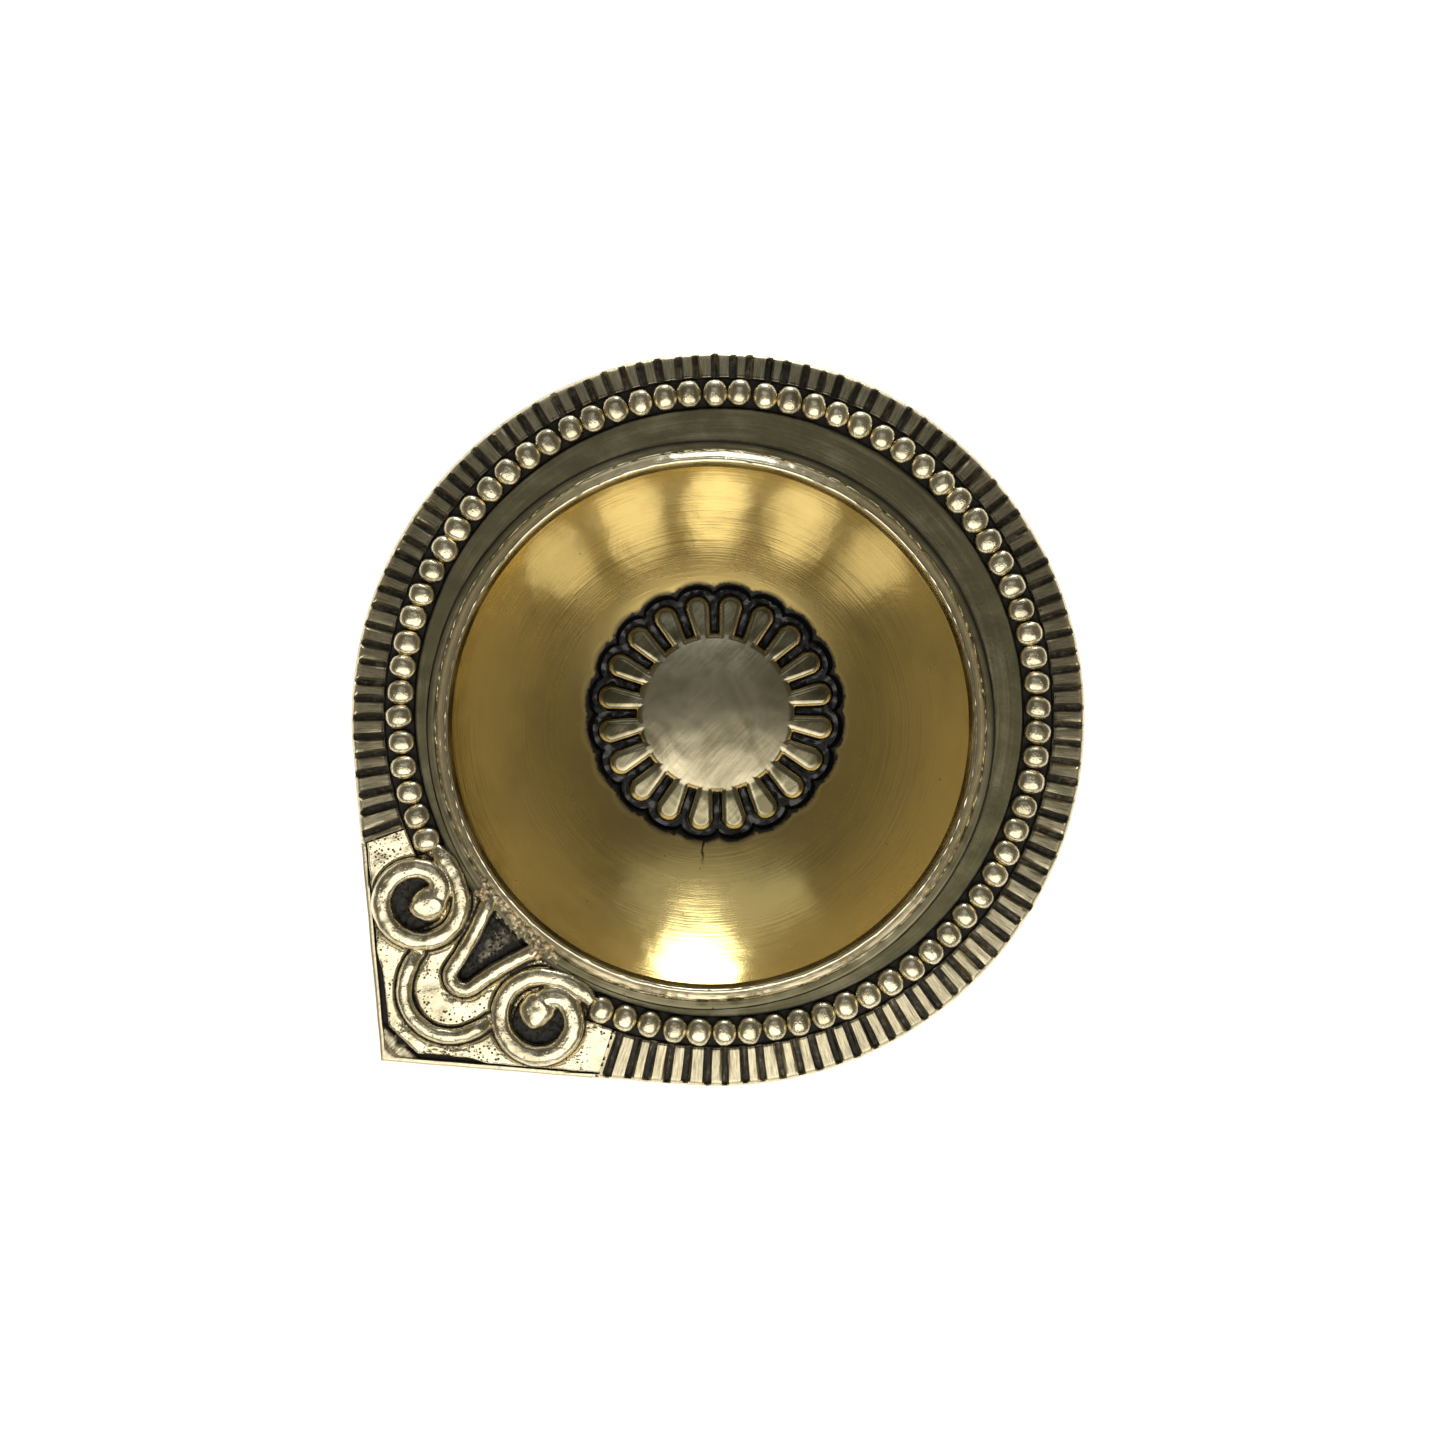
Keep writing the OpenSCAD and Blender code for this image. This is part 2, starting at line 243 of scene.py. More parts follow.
class Finish:
    """A material under construction."""

    def __init__(self, name, world=None):
        self.owner = world or bpy.data.materials.new(name)
        self.owner.use_nodes = True
        self.tree = self.owner.node_tree
        self.tree.nodes.clear()
        self.here = self.add("ShaderNodeTexCoord", {}, {}, "Object")

    def add(self, kind, settings, inputs, output=0):
        """Adds a node with these settings, values and links, and gives back one of its outputs."""
        node = self.tree.nodes.new(kind)
        for key, value in settings.items():
            setattr(node, key, value)
        for key, value in inputs.items():
            if isinstance(value, Wire):
                self.tree.links.new(value.socket, node.inputs[key])
            else:
                node.inputs[key].default_value = value
        return Wire(self, node.outputs[output])

    def attribute(self, name):
        return self.add("ShaderNodeAttribute", {"attribute_name": name}, {}, "Fac")

    def noise(self, scale, detail=3.0, rough=0.5, at=None, distort=0.0):
        """Noise from about 0 to 1; scale is in features to the metre."""
        inputs = {"Vector": at or self.here, "Scale": scale, "Detail": detail, "Roughness": rough,
                  "Distortion": distort}
        return self.add("ShaderNodeTexNoise", {}, inputs)

    def cells(self, scale, at=None):
        """Distance from the nearest of many scattered points."""
        return self.add("ShaderNodeTexVoronoi", {}, {"Vector": at or self.here, "Scale": scale})

    def mix(self, mask, low, high):
        """Colour low where mask is 0, and high where it is 1."""
        settings = {"data_type": "RGBA"}
        return self.add("ShaderNodeMix", settings, {0: mask, 6: colour(low), 7: colour(high)}, 2)

    def polar(self, centre):
        """Radius in metres, and turn from -1 to 1, about an upright axis."""
        moved = self.add("ShaderNodeVectorMath", {"operation": "SUBTRACT"},
                         {0: self.here, 1: (centre.x * MM, centre.y * MM, 0)})
        x, y, z = self.parts(moved)
        return (x * x + y * y) ** 0.5, x.math("ARCTAN2", y, x) / math.pi, z

    def parts(self, vector):
        node = self.add("ShaderNodeSeparateXYZ", {}, {0: vector}).socket.node
        return [Wire(self, node.outputs[i]) for i in range(3)]

    def vector(self, x, y, z):
        return self.add("ShaderNodeCombineXYZ", {}, {0: x, 1: y, 2: z})

    def bump(self, height, depth, strength=1.0):
        return self.add("ShaderNodeBump", {}, {"Height": height, "Distance": depth, "Strength": strength})

    def surface(self, **values):
        """Ends the material in a Principled shader with these sockets."""
        names = {"base": "Base Color", "metal": "Metallic", "rough": "Roughness", "normal": "Normal",
                 "coat": "Coat Weight", "coat_rough": "Coat Roughness", "glow": "Emission Color",
                 "glow_strength": "Emission Strength"}
        inputs = {names[key]: colour(value) for key, value in values.items()}
        self.end(self.add("ShaderNodeBsdfPrincipled", {}, inputs))
        return self.owner

    def end(self, shader, kind="ShaderNodeOutputMaterial"):
        output = self.tree.nodes.new(kind)
        self.tree.links.new(shader.socket, output.inputs["Surface"])


def colour(value):
    """A colour socket's value from three numbers; anything else is left as it is."""
    return (*value, 1.0) if hasattr(value, "__len__") and len(value) == 3 else value


def tones():
    return bpy.context.scene.diya_colours


def turning_marks(finish, radius, turn, fine, coarse):
    """Fine and coarse rings round an axis, as a turning tool leaves them."""
    around = finish.vector(radius * fine, turn * 3.0, 0.0)
    broad = finish.vector(radius * coarse, turn * 1.5, 4.0)
    return 0.6 * finish.noise(1.0, 4.0, 0.6, around) + 0.4 * finish.noise(1.0, 3.0, 0.6, broad)


def bowl_finish():
    f = Finish("polished_brass")
    radius, turn, height = f.polar(BOWL_AT)
    radius_lac = f.polar(Vector((0, 0)))[0]
    rings = turning_marks(f, radius, turn, 4200.0, 1100.0)
    hand = f.noise(130.0, 4.0, 0.55, distort=0.6)
    pores = (1 - f.cells(900.0).fade(0.03, 0.1)) * f.noise(160.0, 2.0).fade(0.56, 0.64)
    centre = Vector((BOWL_AT.x, BOWL_AT.y, HOLLOW_Z)) * MM
    reach = f.add("ShaderNodeVectorMath", {"operation": "DISTANCE"}, {0: f.here, 1: centre}, "Value")
    lip = height.fade((BAND_Z - 0.4) * MM, (BAND_Z + 0.1) * MM)
    outside = reach.fade((HOLLOW_R + 0.5) * MM, (HOLLOW_R + 0.8) * MM) * (1 - lip)
    collar = radius.fade((LIP_R + 1.0) * MM, (LIP_R + 1.2) * MM)
    smudge = (1 - radius_lac.fade(13.0 * MM, 15.2 * MM)) * (0.2 + 1.1 * f.noise(1000.0, 4.0, 0.75))
    stain = f.noise(60.0, 5.0, 0.6).fade(0.42, 0.75) * 0.3
    dark = (f.attribute("hollow") + pores * 0.8 + crack(f) * 0.9 + smudge.fade(0.5, 0.85) * 0.9).clamp()
    metal = f.mix(lip, tones().gold, tones().bright)
    dull = (stain + outside * 0.55 + collar * (0.85 + (rings - 0.5) * 0.6)).clamp()
    film = f.mix(dull, metal, tones().olive)
    base = f.mix(dark, film, tones().patina)
    near = 1 - radius.fade(15.0 * MM, 20.0 * MM)
    rough = 0.08 + 0.06 * hand + 0.1 * rings + 0.2 * outside + 0.18 * collar + 0.25 * dark + 0.14 * near
    relief = (rings * 0.65 + hand * 0.9 - pores * 0.8) * 0.045
    # The upper wall is shaded as if it were a little less steep
    outer = (radius / MM - FLATTER_R).at_least(0.0)
    flatter = outer * outer * outer * FLATTER * (1 - lip) * (1 - collar)
    return f.surface(base=base, metal=1 - dark * 0.9, rough=rough, normal=f.bump(relief - flatter, MM))


def crack(f):
    """A hairline that wanders outwards from the lac across the bowl."""
    x, y, _ = f.parts(f.here)
    wander = (f.noise(700.0, 3.0) - 0.5) * 1.1 * MM
    along = CRACK_WAY.x * x + CRACK_WAY.y * y
    across = CRACK_WAY.x * y - CRACK_WAY.y * x + wander
    line = 1 - across.math("ABSOLUTE", across).fade(0.05 * MM, 0.2 * MM)
    return line * along.fade(SEAT_R * MM, (SEAT_R + 0.6) * MM) * (1 - along.fade(15.0 * MM, 16.4 * MM))


def cast_finish(name, bright, rubbed, pitting):
    """Cast brass: rubbed on its crowns, dark in its hollows, and pitted all over."""
    f = Finish(name)
    hollow = f.attribute("hollow")
    grain = f.noise(1500.0, 4.0, 0.65)
    blotch = f.noise(220.0, 4.0, 0.6)
    pits = (1 - f.cells(2600.0).fade(0.1, 0.4)) * f.noise(500.0, 3.0).fade(0.42, 0.58)
    wear = (hollow * 1.25 + (blotch - 0.5) * 0.7 + (grain - 0.5) * 0.7 + (0.5 - rubbed)).fade(0.25, 0.85)
    dark = (wear + pits * pitting).clamp()
    film = f.mix(blotch.fade(0.4, 0.75) * 0.6, bright, tones().olive)
    base = f.mix(dark, film, tones().patina)
    rough = 0.17 + 0.14 * grain + 0.25 * dark
    relief = grain * 0.5 - pits * 0.8 * pitting
    return f.surface(base=base, metal=1 - dark * 0.85, rough=rough, normal=f.bump(relief, 0.07 * MM))


def rim_finish():
    f = Finish("aged_brass")
    radius, turn, _ = f.polar(Vector((0.0, 0.0)))
    rings = turning_marks(f, radius, turn, 6000.0, 1200.0)
    grain = f.noise(1800.0, 4.0, 0.65)
    blotch = f.noise(190.0, 4.0, 0.6)
    scores = f.noise(1.0, 3.0, 0.7, f.vector(turn * 700.0, radius * 500.0, 0.0))
    border = radius.fade((CHANNEL_OUT_R - 0.1) * MM, (CHANNEL_OUT_R + 0.2) * MM)
    # The crown lightens the film: rubbed crowns, and painted highlight lines along the flutes' edges
    edge = f.attribute("crown")
    marks = rings + border * (scores - rings)
    # Painted shade: the flat band takes more of the dark film than the fluted border, partly its own patina,
    # partly standing in for the dark overhead it mirrors
    dull = 1.0 - border * 0.4
    film = dull + (marks - 0.5) * (0.9 + border * 0.8) + (blotch - 0.5) * 0.5 - edge * 0.6
    film = f.mix(film.clamp(), tones().bright, tones().olive)
    uneven = (marks - 0.5) * 0.4 + (grain - 0.5) * 0.5 + (blotch - 0.5) * 0.4
    dark = (f.attribute("hollow") * 1.2 + uneven).fade(0.3, 0.8)
    base = f.mix(dark, film, tones().patina)
    rough = 0.22 + 0.14 * grain + 0.1 * marks + 0.2 * dark
    relief = marks * 0.6 + grain * 0.4
    return f.surface(base=base, metal=1 - dark * 0.85, rough=rough, normal=f.bump(relief, 0.05 * MM))


def rosette_finish():
    f = Finish("rosette_brass")
    brushed = f.add("ShaderNodeMapping", {},
                    {"Vector": f.here, "Rotation": (0, 0, 0.5), "Scale": (2600, 300, 300)})
    strokes = f.noise(1.0, 4.0, 0.6, brushed)
    swirl = f.noise(170.0, 4.0, 0.55, distort=1.2)
    hollow = f.attribute("hollow")
    radius, _, _ = f.polar(Vector((0.0, 0.0)))
    petals = radius.fade((DISC_R - 0.2) * MM, (DISC_R + 0.6) * MM)
    dull = 0.62 + (swirl - 0.5) * 1.3 + (strokes - 0.5) * 0.4 + petals * (0.3 - 0.4 * f.attribute("crown"))
    film = f.mix(dull.clamp(), tones().bright, tones().olive)
    dark = (hollow * 1.3 + (swirl - 0.5) * 0.3).fade(0.3, 0.8)
    base = f.mix(dark, film, tones().patina)
    rough = 0.13 + 0.08 * strokes + 0.08 * swirl + 0.2 * dark
    relief = strokes * 0.7 + swirl * 0.3
    return f.surface(base=base, metal=1 - dark * 0.85, rough=rough, normal=f.bump(relief, 0.008 * MM))


def lac_finish():
    f = Finish("black_lac")
    lumps = f.noise(900.0, 4.0, 0.6)
    dust = f.noise(2600.0, 3.0, 0.7).fade(0.62, 0.8)
    base = f.mix(dust * 0.4, tones().lac, (0.1, 0.085, 0.06))
    return f.surface(base=base, metal=0.0, rough=0.16 + lumps * 0.25 + dust * 0.3,
                     normal=f.bump(lumps, 0.12 * MM), coat=0.4, coat_rough=0.1)


def brazing_finish():
    f = Finish("brazing")
    grain = f.noise(2200.0, 4.0, 0.7)
    blotch = f.noise(700.0, 3.0, 0.6)
    lump = f.parts(f.here)[2].fade((BAND_Z + 0.15) * MM, (BAND_Z + 0.5) * MM)
    pale = blotch.fade(0.3, 0.55) * (1 - lump * 0.6) + (1 - lump) * 0.6
    metal = f.mix(pale.clamp(), tones().copper, tones().bright)
    soot = (grain * 0.6 + blotch * 0.4).fade(0.46, 0.66)
    return f.surface(base=f.mix(soot, metal, tones().patina), metal=1 - soot * 0.8,
                     rough=0.28 + grain * 0.25, normal=f.bump(grain, 0.1 * MM))


# Plan geometry ----------------------------------------------------------------


def turned(x, y, angle):
    return Vector((x * math.cos(angle) - y * math.sin(angle), x * math.sin(angle) + y * math.cos(angle)))


def smooth(t):
    t = min(1.0, max(0.0, t))
    return t * t * (3 - 2 * t)


def spread(low, high, count):
    """Even steps from low to high, both included."""
    return [low + (high - low) * k / (count - 1) for k in range(count)]


def ring_reach(direction, centre, radius):
    """How far a circle is from the lamp's axis in a direction."""
    along = direction.dot(centre)
    return along + math.sqrt(along * along - centre.dot(centre) + radius * radius)


def straight_sides():
    """The outline's two straight sides: the point where each leaves the circle, and its outward normal."""
    to_tip = TIP - OUTLINE_AT
    middle = math.atan2(to_tip.y, to_tip.x)
    opening = math.acos(RIM_R / to_tip.length)
    normals = [turned(1, 0, middle + side * opening) for side in (-1, 1)]
    return [(OUTLINE_AT + n * RIM_R, n) for n in normals]


SIDES = straight_sides()


def beside_tip(q):
    """Is a direction from the outline's centre nearer to the tip than the places where the circle ends?"""
    middle = (TIP - OUTLINE_AT).normalized()
    return q.normalized().dot(middle) > SIDES[0][1].dot(middle)


def outline_inset(p):
    """How far a point is inside the outline."""
    q = p - OUTLINE_AT
    if beside_tip(q):
        return min((point - p).dot(n) for point, n in SIDES)
    return RIM_R - q.length


def outline_reach(direction):
    """How far the outline is from the lamp's axis in a direction, and how aslant the direction meets it."""
    reach = ring_reach(direction, OUTLINE_AT, RIM_R)
    if not beside_tip(direction * reach - OUTLINE_AT):
        return reach, 1.0
    facing = [(point, n, direction.dot(n)) for point, n in SIDES if direction.dot(n) > 0.01]
    return min((point.dot(n) / toward, 1 / toward) for point, n, toward in facing)


def spout_angle(p):
    """Degrees from the spout's direction, 0 to 180."""
    return abs(math.degrees(math.atan2(p.x, -p.y)))


def spout_z(y):
    """Height of the spout's plane."""
    return BAND_Z + (y - SPOUT_HINGE_Y) * math.tan(SPOUT_FALL)


def arc_chain(start, heading, arcs, step=0.15):
    """Points and headings along tangent arcs."""
    point = Vector(start)
    angle = math.radians(heading)
    path = [(point, angle)]
    for radius, sweep in arcs:
        centre = point + turned(0, math.copysign(radius, sweep), angle)
        sweep = math.radians(sweep)
        count = max(2, math.ceil(abs(sweep) * radius / step))
        for k in range(1, count + 1):
            path.append((centre + turned(*(point - centre), sweep * k / count), angle + sweep * k / count))
        point, angle = path[-1]
    return path


def two_sided(half):
    """A path in on the left, through its middle, and out on the right."""
    left = [(Vector((-p.x, p.y)), -a) for p, a in reversed(half[1:])]
    return left + half


class Route:
    """A cord's path in plan, searched for the place on it nearest to a point."""

    def __init__(self, path):
        self.path = path
        self.tree = KDTree(len(path))
        for k, (p, _) in enumerate(path):
            self.tree.insert((p.x, p.y, 0), k)
        self.tree.balance()

    def near(self, p):
        """Distance from a point, and how far it is to the left of the path."""
        _, k, far = self.tree.find((p.x, p.y, 0))
        place, heading = self.path[k]
        return far, (p - place).dot(turned(0, 1, heading))

    def lengths(self):
        run = [0.0]
        for (p, _), (q, _) in zip(self.path, self.path[1:]):
            run.append(run[-1] + (q - p).length)
        return run


SCROLL_ROUTE = Route(arc_chain(*SCROLL))
VEE_ROUTE = Route(two_sided(arc_chain(*VEE)))
BOW_ROUTE = Route(two_sided(arc_chain(*BOW)))
EYE_STEPS = 14
EYE_AT = SCROLL_ROUTE.path[-EYE_STEPS][0]
COIL_AT = SCROLL_ROUTE.path[-1][0]


def in_vee(p):
    """How far a point is inside the wick recess, between the arms of the V."""
    if abs(p.x) > 9 or p.y < -41:
        return -1.0
    far, side = VEE_ROUTE.near(p)
    return math.copysign(far, side)


def wick_recess(p):
    """How deep the wick recess is here, from 0 to 1, and how dark: its middle is scraped cleaner."""
    inside = in_vee(p)
    deep = smooth((inside - 0.6) / 0.3)
    return deep, deep * (0.9 - 0.2 * smooth((inside - 1.1) / 0.6))


# Mesh tools -------------------------------------------------------------------


def lathe(points, steps, closed=True, sweep=math.tau):
    """Spins a profile in the XZ plane about the Z axis. The layer 'row' numbers its points."""
    bm = bmesh.new()
    row = bm.verts.layers.int.new("row")
    verts = [bm.verts.new((x, 0, z)) for x, z in points]
    for k, v in enumerate(verts):
        v[row] = k
    for k in range(len(verts) if closed else len(verts) - 1):
        bm.edges.new((verts[k], verts[(k + 1) % len(verts)]))
    full = sweep == math.tau
    bmesh.ops.spin(bm, geom=bm.verts[:] + bm.edges[:], cent=(0, 0, 0), axis=UP, angle=sweep, steps=steps,
                   use_merge=full)
    bmesh.ops.remove_doubles(bm, verts=bm.verts, dist=1e-4)
    return bm, row


def arc_profile(x, z, radius, first, last, count):
    """Points of an arc in a profile, from one angle to another in degrees."""
    turns = [math.radians(a) for a in spread(first, last, count)]
    return [(x + radius * math.cos(a), z + radius * math.sin(a)) for a in turns]


def roughen(bm, amount, size, seed=0.0):
    """Moves every vertex by smooth noise, as casting and hand work leave it."""
    shift = Vector((seed, seed * 1.7, seed * 0.3))
    for v in bm.verts:
        v.co += noise.noise_vector(v.co / size + shift) * amount


def finish_piece(name, bm, material, slot, *nodes, sharp=40.0):
    """Makes a bmesh in millimetres a smooth piece that stands for its nodes."""
    bmesh.ops.recalc_face_normals(bm, faces=bm.faces)
    bmesh.ops.scale(bm, vec=(MM, MM, MM), verts=bm.verts)
    mesh = bpy.data.meshes.new(name)
    bm.to_mesh(mesh)
    bm.free()
    mesh.shade_smooth()
    mesh.set_sharp_from_angle(angle=math.radians(sharp))
    piece = bpy.data.objects.new(name, mesh)
    bpy.context.scene.collection.objects.link(piece)
    piece.data.materials.append(material)
    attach(piece, "root")
    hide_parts(*nodes)
    return piece


def remeshed(bm, voxel, smoothing):
    """Melts overlapping closed shells into one skin, as a casting joins them."""
    bmesh.ops.recalc_face_normals(bm, faces=bm.faces)
    mesh = bpy.data.meshes.new("shells")
    bm.to_mesh(mesh)
    bm.free()
    shells = bpy.data.objects.new("shells", mesh)
    bpy.context.scene.collection.objects.link(shells)
    remesh = shells.modifiers.new("skin", "REMESH")
    remesh.mode = "VOXEL"
    remesh.voxel_size = voxel
    skin = bmesh.new()
    skin.from_object(shells, bpy.context.evaluated_depsgraph_get())
    bpy.data.objects.remove(shells)
    bpy.data.meshes.remove(mesh)
    for _ in range(smoothing):
        bmesh.ops.smooth_vert(
            skin, verts=skin.verts, factor=0.5, use_axis_x=True, use_axis_y=True, use_axis_z=True)
    return skin


def squared(verts):
    """Squares a unit ball or circle a little, as wear and casting do."""
    for v in verts:
        v.co = [math.copysign(abs(c) ** BARREL, c) for c in v.co]


def cord_shell(bm, path, halves, lifts, sides=16):
    """Bridges oval rings set along a path: their half-widths, and how high each one's crown is."""
    rings = []
    for (p, a), half, lift in zip(path, halves, lifts):
        ring = bmesh.ops.create_circle(bm, segments=sides, radius=1.0)["verts"]
        squared(ring)
        across = turned(0, 1, a)
        section = Matrix(((across.x * half, 0, 0, p.x), (across.y * half, 0, 0, p.y),
                          (0, lift, 0, 0), (0, 0, 0, 1)))
        bmesh.ops.transform(bm, matrix=section, verts=ring)
        rings.append(ring)
    for first, second in zip(rings, rings[1:]):
        both = set(first + second)
        around = {e for v in both for e in v.link_edges if e.other_vert(v) in both and len(e.link_faces) < 2}
        bmesh.ops.bridge_loops(bm, edges=list(around))
    for ring in (rings[0], rings[-1]):
        bmesh.ops.contextual_create(bm, geom=ring)


def on_spout(bm):
    """Moves a bmesh from the flat plan onto the spout's plane, where z is 0."""
    hinge = Vector((0, SPOUT_HINGE_Y, BAND_Z))
    to_hinge = Matrix.Translation((0, -SPOUT_HINGE_Y, 0))
    tilt = Matrix.Translation(hinge) @ Matrix.Rotation(SPOUT_FALL, 4, "X") @ to_hinge
    bmesh.ops.transform(bm, matrix=tilt, verts=bm.verts)


def mark_depth(bm, low, high):
    """Writes how deep a vertex lies into the attribute 'hollow': 1 at low, 0 at high."""
    hollow = bm.verts.layers.float.new("hollow")
    for v in bm.verts:
        v[hollow] = 1 - smooth((v.co.z - low) / (high - low))


# Rim and beads ----------------------------------------------------------------


TOP_ROWS = (spread(OPENING_R, 31.2, 8) + spread(31.3, 31.7, 6) + spread(32.1, 34.1, 5)
            + spread(34.4, 34.8, 6) + spread(34.95, 37.85, 21) + [37.93, 38.0])
UNDER_ROWS = [(38.0, 23.6), (38.0, 21.2), (37.85, 20.9), (37.6, 20.8), (35.5, 20.8), (35.3, 22.1),
              (35.1, 22.2), (31.3, 22.2), (31.1, 22.1), (30.9, 20.8), (28.1, 20.8), (28.1, SEAT_Z),
              (OPENING_R, SEAT_Z)]
KEPT_INSET = 1.6
EDGE_WEAR = 0.12


def rim_radius(row_r, direction):
    """Where a row of the rim lies in a direction: off centre at the bowl, along the outline outside."""
    if row_r < CHANNEL_IN_R:
        inner = min(row_r, OPENING_R)
        weight = min(1.0, (CHANNEL_IN_R - row_r) / (CHANNEL_IN_R - OPENING_R))
        return row_r + weight * (ring_reach(direction, BOWL_AT, inner) - inner)
    if row_r <= CHANNEL_OUT_R:
        return row_r
    reach, slant = outline_reach(direction)
    even = CHANNEL_OUT_R + (row_r - CHANNEL_OUT_R) / (RIM_R - CHANNEL_OUT_R) * (reach - CHANNEL_OUT_R)
    inset = RIM_R - row_r
    kept = reach - inset * slant
    if inset > KEPT_INSET:
        share = (row_r - CHANNEL_OUT_R) / (RIM_R - KEPT_INSET - CHANNEL_OUT_R)
        kept = CHANNEL_OUT_R + share * (reach - KEPT_INSET * slant - CHANNEL_OUT_R)
    return even + smooth((reach - 39.6) / 1.5) * (kept - even)


def flute_cut(p, r, angle, reach):
    """How deep a flute is cut here, 0 to 1. Each is a little off its place, its length and its depth."""
    place = (angle - SPOUT_HALF) / FLUTE_PITCH
    if place < 0:
        return 0.0
    mark = Vector((math.copysign(math.floor(place) + 1, p.x) * 1.37, 0.5, 0.25))
    slip, length, depth = noise.noise_vector(mark)
    across = (place - math.floor(place) - 0.5) * math.radians(FLUTE_PITCH) * r + 0.22 * slip
    past_end = max(0.0, r - (reach - 0.62 + 0.3 * length))
    cut = smooth((0.43 - math.hypot(across, past_end)) / 0.17)
    return cut * (0.85 + 0.3 * depth) * smooth((r - CHANNEL_OUT_R) / 0.1)


def spout_bed(p):
    """Height of the rim under and round the spout's plate, and how hollow it is."""
    inset = outline_inset(p)
    bed = smooth((inset - PLATE_MARGIN + 0.06) / 0.14) * smooth((p.y + 49.0) / 0.3)
    shallow = 1 - 0.6 * smooth((TIP_CUT_Y - 0.1 - p.y) / 0.3)
    worn = EDGE_WEAR * smooth((0.15 - inset) / 0.15)
    return spout_z(p.y) - MARGIN_DROP - BED_DEPTH * bed * shallow - worn, bed * shallow


def rim_top(p, depth):
    """Height of the rim's top, how hollow it is there, and how much it is lightened: a rubbed crown, and
    painted highlight lines along the flutes' edges.
    """
    r = p.length
    angle = spout_angle(p)
    reach = outline_reach(p.normalized())[0]
    if angle < SPOUT_HALF and r > CHANNEL_IN_R - 0.01 and (angle < CHANNEL_END or r > CHANNEL_OUT_R):
        z, bed = spout_bed(p)
        return z, bed, 1 - bed
    recess, grime = wick_recess(p) if angle < CHANNEL_END else (0.0, 0.0)
    channel = smooth((r - CHANNEL_IN_R + 0.12) / 0.24) - smooth((r - CHANNEL_OUT_R + 0.12) / 0.24)
    channel *= smooth((angle - CHANNEL_END) / 0.4)
    cut = flute_cut(p, r, angle, reach)
    outer = smooth((r - CHANNEL_OUT_R + 0.12) / 0.24)
    fall = max(0.0, r - CHANNEL_OUT_R) * FLUTE_FALL
    worn = 0.26 * smooth((r - reach + 0.34) / 0.4)
    z = BAND_Z - channel - fall - worn - cut * depth - RIM_RECESS * recess
    seams = max(smooth(1 - abs(r - CHANNEL_IN_R + 0.1) / 0.35),
                smooth(1 - abs(r - CHANNEL_OUT_R - 0.25) / 0.3))
    lip_seam = smooth(1 - abs((p - BOWL_AT).length - OPENING_R) / 0.12)
    crown = (1 - cut) * outer * (0.25 + 0.75 * smooth((r - reach + 0.75) / 0.4))
    # Painted highlight: a lighter line of brass along each flute's edge, standing in for the glint there
    crown = max(crown, 0.75 * outer * smooth(1 - abs(cut - 0.2) / 0.2))
    return z, max(channel, 0.62 * smooth((cut - 0.35) / 0.3), grime, 0.6 * seams, 0.8 * lip_seam), crown


class DIYA_OT_rim(bpy.types.Operator):
    """Spin the rim's section, fit it to the teardrop outline, and sink its channel, flutes and spout bed"""

    bl_idname = "diya.rim"
    bl_label = "Rim"

    def execute(self, context):
        sizes = context.scene.diya_sizes
        profile = [(r, BAND_Z) for r in TOP_ROWS] + UNDER_ROWS
        bm, row = lathe(profile, 1200)
        hollow = bm.verts.layers.float.new("hollow")
        crown = bm.verts.layers.float.new("crown")
        for v in bm.verts:
            direction = v.co.xy.normalized()
            p = direction * rim_radius(profile[v[row]][0], direction)
            v.co.xy = p
            if v[row] < len(TOP_ROWS):
                v.co.z, v[hollow], v[crown] = rim_top(p, sizes.flute_depth / MM)
            elif v[row] == len(TOP_ROWS):
                v.co.z = 0.75 * rim_top(p, 0.0)[0] + 0.25 * RIM_BOTTOM_Z
                v[hollow] = 0.3
            else:
                v[hollow] = 0.55
        roughen(bm, sizes.unevenness / MM * 0.6, 2.5)
        finish_piece("rim", bm, rim_finish(), "aged_brass", "rim_casting")
        return {"FINISHED"}


class DIYA_OT_beads(bpy.types.Operator):
    """Set a slightly uneven, flattened bead at each place in the channel"""

    bl_idname = "diya.beads"
    bl_label = "Beads"

    def execute(self, context):
        sizes = context.scene.diya_sizes
        low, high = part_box("bead_row")
        floor, top = low.z / MM, high.z / MM
        half = (top - floor) * 0.62
        dice = random.Random(7)
        bm = bmesh.new()
        for k in range(BEADS):
            ball = bmesh.ops.create_uvsphere(bm, u_segments=20, v_segments=14, radius=1.0)["verts"]
            squared(ball)
            grow = dice.uniform(0.97, 1.03)
            long, wide = sizes.bead_long / MM * grow, sizes.bead_wide / MM * grow
            angle = 90 + (k - (BEADS - 1) / 2) * BEAD_PITCH + dice.uniform(-0.12, 0.12)
            turn = Matrix.Rotation(math.radians(angle), 4, "Z")
            ring_r = BEAD_RING_R + dice.uniform(-0.06, 0.06)
            out = Matrix.Translation((ring_r, 0, top - half + dice.uniform(-0.06, 0.0)))
            skew = Matrix.Rotation(dice.uniform(-0.2, 0.2), 4, "Z")
            shape = Matrix.Diagonal((long, wide, half, 1))
            bmesh.ops.transform(bm, matrix=turn @ out @ skew @ shape, verts=ball)
        cut = bmesh.ops.bisect_plane(bm, geom=bm.verts[:] + bm.edges[:] + bm.faces[:], dist=1e-5,
                                     plane_co=(0, 0, floor), plane_no=UP, clear_inner=True)
        open_edges = [e for e in cut["geom_cut"] if isinstance(e, bmesh.types.BMEdge)]
        bmesh.ops.holes_fill(bm, edges=open_edges, sides=0)
        roughen(bm, sizes.unevenness / MM * 0.7, 1.1, 3.0)
        mark_depth(bm, floor - 0.2, floor + 0.4)
        metal = cast_finish("bead_brass", tones().bright, 0.74, 0.2)
        finish_piece("beads", bm, metal, "bright_brass", "bead_row")
        return {"FINISHED"}


# Spout ------------------------------------------------------------------------


